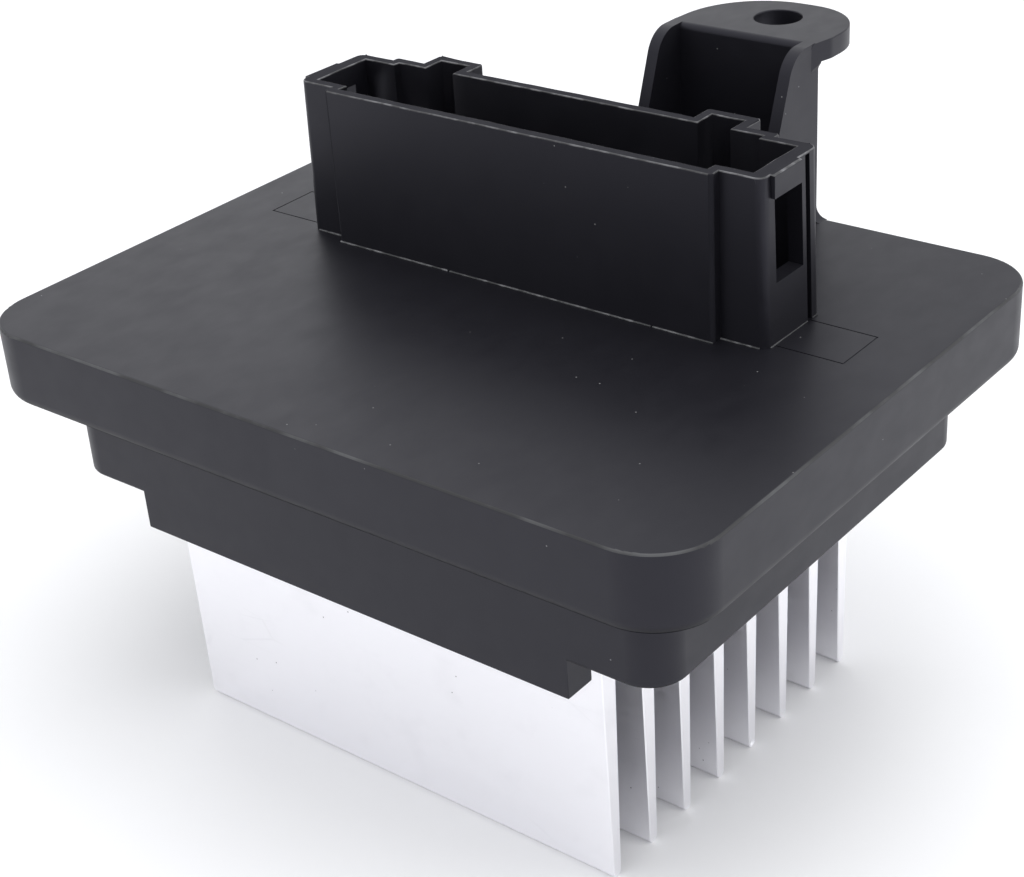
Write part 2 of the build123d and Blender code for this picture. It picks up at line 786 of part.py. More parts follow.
def make_diode_tabs():
    """Two solder tabs that come out from under the flyback diode."""
    tabs = []
    for side in (-1, 1):
        x = diode_x + side * diode_length / 2
        tab = block(2 * diode_tab_length, diode_tab_width, board_top, board_top + diode_tab_thickness,
                    x, chip_y)
        tabs += tab.solids()
    return Compound(tabs)


def save(shape, name):
    """Write one node."""
    export_step(shape, f"parts/{name}.step")


def group(shapes):
    """Several separate solids in one node."""
    return Compound([solid for shape in shapes for solid in shape.solids()])


os.makedirs("parts", exist_ok=True)

save(make_housing(), "housing")
save(make_heatsink(), "heatsink")
save(make_gasket(), "heatsink_gasket")

sink_screws = [
    screw(sink_screw_diameter, sink_screw_head_diameter, sink_screw_head_height, skirt_bottom,
          ledge_level + sink_screw_grip - screw_tip_clearance, x, y)
    for x, y in sink_screw_points
]
save(group(sink_screws), "heatsink_screws")

save(make_board(), "circuit_board")
board_screws = [
    screw(board_screw_diameter, board_screw_head_diameter, board_screw_head_height, board_bottom,
          board_top + board_screw_grip - screw_tip_clearance, x, y)
    for x, y in board_screw_points
]
save(group(board_screws), "board_screws")

for blade_name, blade_x, blade_width in blades:
    save(make_terminal(blade_x, blade_width), blade_name)

for hand_name, centre_x in zip(transistor_names, transistor_centres):
    save(make_transistor_body(centre_x), f"{hand_name}_transistor_body")
    save(make_transistor_frame(centre_x), f"{hand_name}_transistor_frame")
    save(make_thermal_pad(centre_x), f"{hand_name}_thermal_pad")
save(group([make_washer(x) for x in transistor_centres]), "transistor_washers")
save(group([make_tab_screw(x) for x in transistor_centres]), "transistor_screws")

save(make_capacitor_can(), "capacitor_can")
save(make_capacitor_leads(), "capacitor_leads")
save(make_shunt(), "shunt_strip")
save(make_chip_body(), "control_chip_body")
save(make_chip_leads(), "control_chip_leads")
save(make_row(resistor_count, small_part_pitch, resistor_row_x, small_part_width,
              small_part_length, small_part_height), "chip_resistors")
save(make_row(ceramic_count, ceramic_pitch, ceramic_row_x, ceramic_length,
              ceramic_width, ceramic_height), "ceramic_capacitors")
save(make_diode_body(), "flyback_diode_body")
save(make_diode_tabs(), "flyback_diode_tabs")
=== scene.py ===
"""Looks of a blower motor resistor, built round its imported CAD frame.

Everything is in metres, in the frame of the CAD model: the origin is the middle of the
flange's seating face, +Z points at the plug socket and +Y towards the screw ear.
"""

import json
import logging
import math
from abc import ABC, abstractmethod
from collections.abc import Callable, Iterable, Sequence
from dataclasses import dataclass, field
from enum import Enum

import bmesh
import bpy
from mathutils import Matrix, Vector


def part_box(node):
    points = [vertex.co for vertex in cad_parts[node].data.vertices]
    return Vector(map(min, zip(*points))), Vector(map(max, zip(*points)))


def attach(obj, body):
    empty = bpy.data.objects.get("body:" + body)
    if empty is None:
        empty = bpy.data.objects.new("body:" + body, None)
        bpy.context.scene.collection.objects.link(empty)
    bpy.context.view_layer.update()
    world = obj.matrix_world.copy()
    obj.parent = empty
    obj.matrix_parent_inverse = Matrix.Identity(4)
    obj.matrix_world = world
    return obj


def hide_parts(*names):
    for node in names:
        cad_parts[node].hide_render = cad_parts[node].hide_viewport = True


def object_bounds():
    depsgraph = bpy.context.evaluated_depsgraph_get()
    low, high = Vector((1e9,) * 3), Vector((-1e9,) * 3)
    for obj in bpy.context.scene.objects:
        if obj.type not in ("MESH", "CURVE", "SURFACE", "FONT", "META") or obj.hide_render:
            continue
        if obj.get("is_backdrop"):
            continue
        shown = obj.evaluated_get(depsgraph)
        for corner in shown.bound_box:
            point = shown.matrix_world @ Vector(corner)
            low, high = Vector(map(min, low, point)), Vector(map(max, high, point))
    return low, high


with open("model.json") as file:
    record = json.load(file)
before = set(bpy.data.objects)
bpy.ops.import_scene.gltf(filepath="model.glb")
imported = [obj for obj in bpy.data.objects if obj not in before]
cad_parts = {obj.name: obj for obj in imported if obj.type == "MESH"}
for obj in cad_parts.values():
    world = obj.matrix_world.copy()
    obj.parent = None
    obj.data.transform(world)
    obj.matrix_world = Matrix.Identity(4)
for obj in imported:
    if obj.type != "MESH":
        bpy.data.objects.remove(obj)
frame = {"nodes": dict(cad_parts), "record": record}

LOG = logging.getLogger("blower_motor_resistor")
ROOT = "root"
MM = 0.001
NEAR = 0.01 * MM
DOWN = -0.9  # a face looks down where its normal's Z is below this
NOISE_RANGE = (0.3, 0.7)  # where most of a noise's values lie

Colour = tuple[float, float, float]
Point = tuple[float, float, float]
Piece = bpy.types.Object
Edge = bmesh.types.BMEdge
Material = bpy.types.Material
Socket = bpy.types.NodeSocket
Value = Socket | float | Point


class Slot(Enum):
    """The record's material slots."""

    HOUSING = "housing_plastic"
    HEAT_SINK = "heatsink_aluminium"
    SEAL = "seal_rubber"
    SCREW = "screw_steel"
    BOARD = "board_laminate"
    TERMINAL = "terminal_metal"
    LEAD = "lead_metal"
    CHIP = "chip_plastic"
    PAD = "pad_rubber"
    CAN = "can_aluminium"
    SHUNT = "shunt_alloy"
    RESISTOR = "chip_ceramic"
    CAPACITOR = "capacitor_ceramic"


class Lay(Enum):
    """An axis, such as the one that the marks of drawing or rolling follow."""

    ALONG_X = (1.0, 0.0, 0.0)
    ALONG_Y = (0.0, 1.0, 0.0)
    ALONG_Z = (0.0, 0.0, 1.0)


# Shader graphs


class Graph:
    """A material's node tree, with short ways to add its nodes and feed their inputs."""

    def __init__(self, name: str) -> None:
        """Start a material that holds one Principled shader.

        Args:
            name: the material's name.
        """
        self.material = bpy.data.materials.new(name)
        self.material.use_nodes = True
        self.tree = self.material.node_tree
        self.shader = next(n for n in self.tree.nodes if n.type == "BSDF_PRINCIPLED")
        coordinates = self.add("ShaderNodeTexCoord", {}).outputs
        self.place, self.normal = coordinates["Object"], coordinates["Normal"]

    def add(self, kind: str, inputs: dict[str | int, Value], **settings: str) -> bpy.types.Node:
        """Add a node.

        Args:
            kind: the node's Blender type.
            inputs: what its inputs get, by their names or numbers.
            settings: values for the node's own properties.

        Returns:
            The new node.
        """
        node = self.tree.nodes.new(kind)
        for name, setting in settings.items():
            setattr(node, name, setting)
        for key, value in inputs.items():
            self.feed(value, node.inputs[key])
        return node

    def feed(self, value: Value, target: Socket) -> None:
        """Link a value from another node to an input, or set the input to a fixed one.

        Args:
            value: another node's output, a number, a vector or a colour.
            target: the input.
        """
        if isinstance(value, Socket):
            self.tree.links.new(value, target)
        elif target.type == "RGBA":
            target.default_value = (*value, 1.0)
        else:
            target.default_value = value

    def stretched(self, scale: Point) -> Socket:
        """Object coordinates with so many pattern units to a metre along each axis."""
        inputs = {"Vector": self.place, "Scale": scale}
        return self.add("ShaderNodeMapping", inputs).outputs["Vector"]

    def noise(self, scale: float, detail: float = 3.0, at: Socket | None = None) -> Socket:
        """Cloudy noise around a half, with so many blotches to a metre."""
        inputs = {"Scale": scale, "Detail": detail, "Vector": at or self.place}
        return self.add("ShaderNodeTexNoise", inputs).outputs["Fac"]

    def cells(self, scale: float, at: Socket | None = None, **settings: str) -> Socket:
        """Distances in a pattern of cells, to their middles or to what the settings name."""
        inputs = {"Scale": scale, "Vector": at or self.place}
        return self.add("ShaderNodeTexVoronoi", inputs, **settings).outputs["Distance"]

    def span(self, value: Socket, low: float, high: float, start: float, end: float) -> Socket:
        """Carry a value's range, low to high, over to start to end, clamped."""
        limits = {"From Min": low, "From Max": high, "To Min": start, "To Max": end}
        return self.add("ShaderNodeMapRange", {"Value": value, **limits}).outputs["Result"]

    def math(self, operation: str, first: Socket, second: Socket | float) -> Socket:
        """Combine a value with another, or with a number, in a Math node."""
        inputs = {0: first, 1: second}
        return self.add("ShaderNodeMath", inputs, operation=operation).outputs["Value"]

    def blend(self, share: Socket, below: Socket | Colour, above: Socket | Colour) -> Socket:
        """Blend two colours, fixed or from other nodes, by the share of the second."""
        inputs = {"Factor": share, 6: below, 7: above}
        return self.add("ShaderNodeMix", inputs, data_type="RGBA").outputs[2]

    def specks(self, per_metre: float, size: float, gate: float) -> Socket:
        """Scattered round specks.

        Args:
            per_metre: how many places for a speck fit in a metre.
            size: a speck's radius, as a share of a cell.
            gate: the noise level from which a region has specks.

        Returns:
            One inside a speck and nought elsewhere.
        """
        inside = self.span(self.cells(per_metre), size * 0.55, size, 1.0, 0.0)
        region = self.span(self.noise(per_metre * 0.11, 2.0), gate, gate + 0.02, 0.0, 1.0)
        return self.math("MULTIPLY", inside, region)

    def facing(self, axis: Lay) -> Socket:
        """How squarely a face looks along one of the object's axes.

        Args:
            axis: the axis.

        Returns:
            One where the face looks along the axis either way, nought where it doesn't.
        """
        inputs = {0: self.normal, 1: axis.value}
        dot = self.add("ShaderNodeVectorMath", inputs, operation="DOT_PRODUCT")
        return self.span(self.math("ABSOLUTE", dot.outputs["Value"], 0.0), 0.7, 0.8, 0.0, 1.0)

    def rise(self) -> Socket:
        """How far a face looks up: one straight up, minus one straight down."""
        return self.add("ShaderNodeSeparateXYZ", {"Vector": self.normal}).outputs["Z"]

    def relief(
        self, height: Socket, depth: float, strength: float, over: Socket | None = None
    ) -> Socket:
        """Bump from a height.

        Args:
            height: the height value.
            depth: the height's distance in metres.
            strength: how much of it shows.
            over: a normal that this bump lies over.

        Returns:
            The bumped normal.
        """
        inputs = {"Height": height, "Distance": depth, "Strength": strength}
        if over is not None:
            inputs["Normal"] = over
        return self.add("ShaderNodeBump", inputs).outputs["Normal"]

    def finish(
        self, colour: Socket, roughness: Socket, normal: Socket, **others: Value
    ) -> Material:
        """Feed the shader.

        Args:
            colour: base colour.
            roughness: roughness.
            normal: bumped normal.
            others: values for other inputs, with underscores for spaces.

        Returns:
            The finished material.
        """
        inputs = {"Base Color": colour, "Roughness": roughness, "Normal": normal, **others}
        for name, value in inputs.items():
            self.feed(value, self.shader.inputs[name.replace("_", " ")])
        return self.material


@dataclass(frozen=True)
class Finish(ABC):
    """A surface finish, made into a material once.

    Attributes:
        name: the material's name.
    """

    name: str

    def material(self) -> Material:
        """The finish's material, made on first use."""
        return bpy.data.materials.get(self.name) or self.make(Graph(self.name))

    @abstractmethod
    def make(self, graph: Graph) -> Material:
        """Make the material in a new graph."""


@dataclass(frozen=True)
class MouldedPlastic(Finish):
    """Glass-filled moulded plastic: fine grain, faint flow clouds and dust specks.

    Its sheen fades on faces that look down: painted shade for darker surroundings below.

    Attributes:
        colour: the plastic's colour.
        cloud: the colour that the flow clouds lift it to.
        gloss_low: roughness where it is most polished.
        gloss_high: roughness where it is dullest.
        dust: colour of a dust speck.
        dust_gate: the noise level from which specks lie on it.
        sheen: how strongly it mirrors.
        shaded_underside_sheen: how strongly its undersides do; turned down as painted shade.
        tint: the colour of its sheen.
    """

    colour: Colour = (0.0062, 0.0060, 0.0082)
    cloud: Colour = (0.0076, 0.0074, 0.0098)
    gloss_low: float = 0.39
    gloss_high: float = 0.45
    dust: Colour = (0.22, 0.22, 0.22)
    dust_gate: float = 0.50
    sheen: float = 0.52
    shaded_underside_sheen: float = 0.0
    tint: Colour = (0.85, 0.845, 1.0)

    def make(self, graph: Graph) -> Material:
        """Make the material.

        Args:
            graph: a new graph.

        Returns:
            The material.
        """
        clouds = graph.noise(42.0, 4.0)
        grain = graph.noise(5200.0, 2.0)
        dust = graph.specks(430.0, 0.040, self.dust_gate)
        colour = graph.blend(graph.span(clouds, 0.35, 0.7, 0.0, 1.0), self.colour, self.cloud)
        colour = graph.blend(dust, colour, self.dust)
        smear = graph.noise(420.0, 5.0, graph.stretched((1.0, 0.6, 1.0)))
        roughness = graph.span(smear, *NOISE_RANGE, self.gloss_low, self.gloss_high)
        normal = graph.relief(grain, 0.012 * MM, 0.22)
        normal = graph.relief(graph.noise(260.0, 3.0), 0.012 * MM, 0.045, normal)
        # Painted shade: the sheen fades on faces that look down.
        sheen = graph.span(graph.rise(), -0.65, -0.05, self.shaded_underside_sheen, self.sheen)
        others = {"IOR": 1.41, "Specular_IOR_Level": sheen, "Specular_Tint": self.tint}
        return graph.finish(colour, roughness, normal, **others)


@dataclass(frozen=True)
class WornEdge(Finish):
    """Plastic along an edge: lighter than the moulding, and scuffed grey in patches.

    Attributes:
        colour: its lighter colour, a painted highlight on the moulding's rims and upper edge.
        scuff: colour of a scuff.
        patches: how many scuffed patches fit in a metre.
    """

    colour: Colour = (0.035, 0.035, 0.038)
    scuff: Colour = (0.160, 0.160, 0.168)
    patches: float = 620.0

    def make(self, graph: Graph) -> Material:
        """Make the material.

        Args:
            graph: a new graph.

        Returns:
            The material.
        """
        patches = graph.noise(self.patches, 5.0)
        wear = graph.span(patches, 0.46, 0.64, 0.0, 1.0)
        colour = graph.blend(wear, self.colour, self.scuff)
        roughness = graph.span(patches, *NOISE_RANGE, 0.42, 0.66)
        normal = graph.relief(graph.noise(2600.0, 4.0), 0.03 * MM, 0.5)
        return graph.finish(colour, roughness, normal, IOR=1.5)


@dataclass(frozen=True)
class DrawnAluminium(Finish):
    """Extruded aluminium: die lines along the profile, sawn ends, scratches and specks.

    Attributes:
        colour: the metal's colour.
        dull: its colour where it is smudged.
        speck: colour of a pit or speck.
    """

    colour: Colour = (0.95, 0.945, 0.975)
    dull: Colour = (0.88, 0.875, 0.905)
    speck: Colour = (0.20, 0.20, 0.21)

    def make(self, graph: Graph) -> Material:
        """Make the material.

        Args:
            graph: a new graph.

        Returns:
            The material.
        """
        die_lines = graph.noise(1.0, 4.0, graph.stretched((14.0, 2400.0, 2400.0)))
        saw_marks = graph.noise(1.0, 3.0, graph.stretched((90.0, 5200.0, 260.0)))
        sawn = graph.facing(Lay.ALONG_X)  # the sawn ends look along X
        smudge = graph.span(graph.noise(170.0, 5.0), 0.55, 0.75, 0.0, 0.5)
        pits = graph.specks(520.0, 0.05, 0.50)
        shards = graph.stretched((52.0, 120.0, 260.0))
        scratch = graph.cells(1.0, shards, feature="DISTANCE_TO_EDGE")
        hairline = graph.span(scratch, 0.004, 0.012, 1.0, 0.0)
        seldom = graph.span(graph.noise(75.0, 2.0), 0.60, 0.64, 0.0, 1.0)
        hairline = graph.math("MULTIPLY", hairline, seldom)
        colour = graph.blend(smudge, self.colour, self.dull)
        colour = graph.blend(graph.math("MULTIPLY", hairline, 0.45), colour, self.dull)
        colour = graph.blend(pits, colour, self.speck)
        inputs = {"Factor": sawn, 2: die_lines, 3: saw_marks}
        marks = graph.add("ShaderNodeMix", inputs, data_type="FLOAT").outputs[0]
        roughness = graph.span(marks, *NOISE_RANGE, 0.34, 0.46)
        normal = graph.relief(marks, 0.010 * MM, 0.30)
        normal = graph.relief(hairline, 0.02 * MM, 0.35, normal)
        return graph.finish(colour, roughness, normal, Metallic=1.0)


@dataclass(frozen=True)
class WorkedMetal(Finish):
    """Rolled, plated or drawn metal with fine marks along one direction.

    Attributes:
        colour: the metal's colour.
        tarnish: the colour of its duller patches.
        roughness: mean roughness.
        lay: the direction that the marks follow.
    """

    colour: Colour
    tarnish: Colour
    roughness: float
    lay: Lay = Lay.ALONG_Z

    def make(self, graph: Graph) -> Material:
        """Make the material.

        Args:
            graph: a new graph.

        Returns:
            The material.
        """
        scale = tuple(60.0 if along else 4200.0 for along in self.lay.value)
        marks = graph.noise(1.0, 3.0, graph.stretched(scale))
        patches = graph.noise(480.0, 4.0)
        colour = graph.blend(graph.span(patches, 0.42, 0.7, 0.0, 0.8), self.colour, self.tarnish)
        low, high = self.roughness - 0.07, self.roughness + 0.09
        roughness = graph.span(marks, *NOISE_RANGE, low, high)
        normal = graph.relief(marks, 0.008 * MM, 0.30)
        return graph.finish(colour, roughness, normal, Metallic=1.0)


@dataclass(frozen=True)
class Elastomer(Finish):
    """Rubber or a filled silicone pad: dull, with a bloom of lighter powder.

    Attributes:
        colour: the rubber's colour.
        bloom: the powder's colour.
    """

    colour: Colour
    bloom: Colour

    def make(self, graph: Graph) -> Material:
        """Make the material.

        Args:
            graph: a new graph.

        Returns:
            The material.
        """
        bloom = graph.noise(700.0, 5.0)
        colour = graph.blend(graph.span(bloom, 0.5, 0.75, 0.0, 0.8), self.colour, self.bloom)
        roughness = graph.span(bloom, *NOISE_RANGE, 0.72, 0.88)
        normal = graph.relief(graph.noise(3400.0, 3.0), 0.02 * MM, 0.4)
        return graph.finish(colour, roughness, normal, IOR=1.45)


@dataclass(frozen=True)
class GlassLaminate(Finish):
    """Circuit board: lacquer over a glass weave, copper runs showing as lighter bands.

    Attributes:
        lacquer: the lacquer's colour.
        over_copper: its colour where copper lies below.
        fibre: colour of the sawn edge.
    """

    lacquer: Colour = (0.010, 0.085, 0.030)
    over_copper: Colour = (0.022, 0.165, 0.060)
    fibre: Colour = (0.42, 0.40, 0.24)

    def make(self, graph: Graph) -> Material:
        """Make the material.

        Args:
            graph: a new graph.

        Returns:
            The material.
        """
        runs = graph.cells(150.0, distance="CHEBYCHEV")
        copper = graph.span(runs, 0.40, 0.42, 1.0, 0.0)
        colour = graph.blend(copper, self.lacquer, self.over_copper)
        colour = graph.blend(graph.facing(Lay.ALONG_Z), self.fibre, colour)
        inputs = {"Vector": graph.place, "Scale": 420.0, "Distortion": 1.5}
        weave = graph.add("ShaderNodeTexWave", inputs, bands_direction="DIAGONAL")
        roughness = graph.span(graph.noise(300.0, 3.0), *NOISE_RANGE, 0.28, 0.42)
        normal = graph.relief(weave.outputs["Fac"], 0.010 * MM, 0.25)
        normal = graph.relief(copper, 0.03 * MM, 0.6, normal)
        return graph.finish(colour, roughness, normal, IOR=1.52)


@dataclass(frozen=True)
class FiredCeramic(Finish):
    """Fired ceramic body: slightly mottled, fine pores.

    Attributes:
        colour: the body's colour.
        mottle: the colour of its mottling.
    """

    colour: Colour
    mottle: Colour

    def make(self, graph: Graph) -> Material:
        """Make the material.

        Args:
            graph: a new graph.

        Returns:
            The material.
        """
        mottling = graph.noise(1900.0, 4.0)
        colour = graph.blend(graph.span(mottling, 0.4, 0.66, 0.0, 1.0), self.colour, self.mottle)
        roughness = graph.span(mottling, *NOISE_RANGE, 0.38, 0.55)
        normal = graph.relief(graph.noise(5200.0, 2.0), 0.01 * MM, 0.4)
        return graph.finish(colour, roughness, normal, IOR=1.6)


@dataclass(frozen=True)
class PaleFloor(Finish):
    """Matt studio floor.

    Attributes:
        colour: the floor's colour.
        shade: the colour of its faint unevenness.
    """

    colour: Colour = (0.93, 0.93, 0.94)
    shade: Colour = (0.91, 0.91, 0.92)

    def make(self, graph: Graph) -> Material:
        """Make the material.

        Args:
            graph: a new graph.

        Returns:
            The material.
        """
        clouds = graph.noise(3.0, 3.0)
        colour = graph.blend(clouds, self.colour, self.shade)
        roughness = graph.span(clouds, *NOISE_RANGE, 0.82, 0.9)
        normal = graph.relief(graph.noise(900.0, 2.0), 0.02 * MM, 0.1)
        return graph.finish(colour, roughness, normal, IOR=1.4)


PLASTIC = MouldedPlastic("moulded_plastic")
DULLED = MouldedPlastic("dulled_plastic", gloss_low=0.80, gloss_high=0.90)
# Rim edges: a lighter colour as painted highlight, with scuffed patches.
HIGHLIT_SCUFFED = WornEdge("highlit_scuffed_plastic_edge")
# Flange's upper edge: a lighter colour as painted highlight, with faint scuffs.
HIGHLIT_RUBBED = WornEdge("highlit_rubbed_plastic_edge", (0.018, 0.018, 0.020), (0.068, 0.069, 0.073), 170.0)
FLASHED = WornEdge("flash_plastic", (0.050, 0.051, 0.054), (0.20, 0.20, 0.21))
FINISHES: dict[Slot, Finish] = {  # the moulding names its own
    Slot.HEAT_SINK: DrawnAluminium("drawn_aluminium"),
    Slot.SEAL: Elastomer("seal_rubber", (0.020, 0.020, 0.021), (0.075, 0.075, 0.075)),
    Slot.SCREW: WorkedMetal("zinc_plated_steel", (0.66, 0.67, 0.69), (0.50, 0.50, 0.47), 0.32),
    Slot.BOARD: GlassLaminate("board_laminate"),
    Slot.TERMINAL: WorkedMetal("tinned_brass", (0.80, 0.79, 0.76), (0.66, 0.62, 0.52), 0.26),
    Slot.LEAD: WorkedMetal(
        "tinned_copper", (0.74, 0.73, 0.72), (0.58, 0.56, 0.54), 0.34, Lay.ALONG_Y
    ),
    Slot.CHIP: MouldedPlastic(
        "chip_epoxy", (0.018, 0.018, 0.019), (0.028, 0.028, 0.029), 0.50, 0.66
    ),
    Slot.PAD: Elastomer("filled_silicone", (0.36, 0.37, 0.40), (0.52, 0.53, 0.55)),
    Slot.CAN: WorkedMetal(
        "can_aluminium", (0.82, 0.83, 0.85), (0.68, 0.69, 0.71), 0.28, Lay.ALONG_X
    ),
    Slot.SHUNT: WorkedMetal(
        "shunt_alloy", (0.62, 0.48, 0.36), (0.46, 0.35, 0.27), 0.38, Lay.ALONG_X
    ),
    Slot.RESISTOR: FiredCeramic("resistor_body", (0.030, 0.031, 0.034), (0.060, 0.062, 0.066)),
    Slot.CAPACITOR: FiredCeramic("capacitor_body", (0.34, 0.23, 0.13), (0.46, 0.33, 0.20)),
}


# The bench: modelling with Blender's own tools


def put_down_all() -> None:
    """Leave nothing selected."""
    bpy.ops.object.select_all(action="DESELECT")


def take(piece: Piece) -> None:
    """Select one piece alone and make it active.

    Args:
        piece: the piece.
    """
    put_down_all()
    piece.select_set(True)
    bpy.context.view_layer.objects.active = piece


def add_block(name: str, low: Point, high: Point) -> Piece:
    """Add a box between two corners, its place in its mesh.

    Args:
        name: the piece's name.
        low: lowest corner.
        high: highest corner.

    Returns:
        The box.
    """
    put_down_all()
    middle = tuple((a + b) / 2 for a, b in zip(low, high))
    reach = tuple(b - a for a, b in zip(low, high))
    bpy.ops.mesh.primitive_cube_add(size=1.0, location=middle, scale=reach)
    return settle(name)


def add_rod(
    name: str, middle: Point, radius: float, length: float, sides: int, tilt: float = 0.0
) -> Piece:
    """Add a cylinder, its place in its mesh.

    Args:
        name: the piece's name.
        middle: its middle.
        radius: its radius.
        length: its length.
        sides: how many sides it has.
        tilt: how far it is turned about X from upright.

    Returns:
        The cylinder.
    """
    put_down_all()
    bpy.ops.mesh.primitive_cylinder_add(
        vertices=sides, radius=radius, depth=length, location=middle, rotation=(tilt, 0.0, 0.0)
    )
    return settle(name)


def settle(name: str) -> Piece:
    """Name the piece that was just added and move its place into its mesh.

    Args:
        name: its name.

    Returns:
        The piece.
    """
    piece = bpy.context.active_object
    piece.name = piece.data.name = name
    take(piece)
    bpy.ops.object.transform_apply(location=True, rotation=True, scale=True)
    return piece


def put_on(piece: Piece, finishes: Sequence[Finish]) -> None:
    """Give a piece its finishes, the first of which covers it.

    Args:
        piece: the piece.
        finishes: the finishes, one for each material slot.
    """
    piece.data.materials.clear()
    for finish in finishes:
        piece.data.materials.append(finish.material())


def join(pieces: Sequence[Piece], name: str) -> Piece:
    """Join several pieces into one.

    Args:
        pieces: the pieces, of which the first stays.
        name: the joined piece's name.

    Returns:
        The joined piece.
    """
    take(pieces[0])
    for piece in pieces:
        piece.select_set(True)
    bpy.ops.object.join()
    pieces[0].name = pieces[0].data.name = name
    return pieces[0]


def twin(piece: Piece, name: str, shift: Point) -> Piece:
    """Copy a piece with a mesh of its own, at another place.

    Args:
        piece: the piece to copy.
        name: the copy's name.
        shift: where the copy lies from the original.

    Returns:
        The copy.
    """
    take(piece)
    bpy.ops.object.duplicate(linked=False)
    copy = bpy.context.active_object
    copy.data.transform(Matrix.Translation(shift))
    copy.name = copy.data.name = name
    return copy


def modify(piece: Piece, kind: str, **settings: object) -> None:
    """Apply a modifier to a piece.

    Args:
        piece: the piece.
        kind: the modifier's Blender type.
        settings: values for the modifier's own properties.
    """
    take(piece)
    modifier = piece.modifiers.new(kind.lower(), kind)
    for name, setting in settings.items():
        setattr(modifier, name, setting)
    bpy.ops.object.modifier_apply(modifier=modifier.name)


def cut(piece: Piece, tool: Piece) -> None:
    """Cut one piece with another, which is used up."""
    modify(piece, "BOOLEAN", operation="DIFFERENCE", solver="EXACT", object=tool)
    bpy.data.objects.remove(tool, do_unlink=True)


def round_off(piece: Piece, width: float, segments: int, angle: float) -> None:
    """Round a piece's edges with a bevel, from an angle in degrees up."""
    limits = {"limit_method": "ANGLE", "angle_limit": math.radians(angle)}
    modify(piece, "BEVEL", width=width, segments=segments, **limits)


def smooth(piece: Piece, angle: float) -> None:
    """Shade a piece smooth up to an angle, and let its broad faces stay flat.

    Args:
        piece: the piece.
        angle: the angle, in degrees.
    """
    take(piece)
    bpy.ops.object.shade_smooth_by_angle(angle=math.radians(angle))
    modify(piece, "WEIGHTED_NORMAL", keep_sharp=True, weight=100)


@dataclass
class EditMode:
    """Edit mode on one piece, with its faces and edges picked by their place.

    Attributes:
        piece: the piece to edit.
    """

    piece: Piece

    def __enter__(self) -> "EditMode":
        """Go into edit mode.

        Returns:
            This helper.
        """
        take(self.piece)
        bpy.ops.object.mode_set(mode="EDIT")
        return self

    def __exit__(self, *error: object) -> None:
        """Go back to object mode."""
        bpy.ops.object.mode_set(mode="OBJECT")

    def pick_all(self) -> None:
        """Select the whole mesh."""
        bpy.ops.mesh.select_mode(type="VERT")
        bpy.ops.mesh.select_all(action="SELECT")

    def pick(self, kind: str, test: Callable[..., bool]) -> None:
        """Select the faces or the edges that pass a test.

        Args:
            kind: "FACE" or "EDGE".
            test: says of one whether it is wanted.
        """
        bpy.ops.mesh.select_mode(type=kind)
        bpy.ops.mesh.select_all(action="DESELECT")
        mesh = bmesh.from_edit_mesh(self.piece.data)
        elements = mesh.faces if kind == "FACE" else mesh.edges
        for element in [element for element in elements if test(element)]:
            element.select_set(True)
        bmesh.update_edit_mesh(self.piece.data)

    def merge_flat(self, angle: float) -> None:
        """Merge the faces of the whole mesh that meet flat, up to an angle in degrees."""
        self.pick_all()
        bpy.ops.mesh.dissolve_limited(angle_limit=math.radians(angle))

    def cut_across(self, axis: Lay, place: float) -> None:
        """Divide every face along a plane that stands square to an axis.

        Args:
            axis: the axis.
            place: where the plane crosses it.
        """
        self.pick_all()
        point = tuple(place * share for share in axis.value)
        bpy.ops.mesh.bisect(plane_co=point, plane_no=axis.value)

    def bevel(self, width: float, segments: int, slot: int = -1) -> None:
        """Bevel the selected edges, with faces of a slot or, at -1, of their neighbours'."""
        options = {"offset_type": "OFFSET", "affect": "EDGES", "clamp_overlap": False}
        bpy.ops.mesh.bevel(offset=width, segments=segments, material=slot, **options)


def turn(edge: Edge) -> float:
    """The angle between an edge's two faces, in degrees."""
    return math.degrees(edge.calc_face_angle(0.0))


def levels(edge: Edge) -> tuple[float, float]:
    """An edge's lower and upper height."""
    heights = [vertex.co.z for vertex in edge.verts]
    return min(heights), max(heights)


# Sub-assemblies


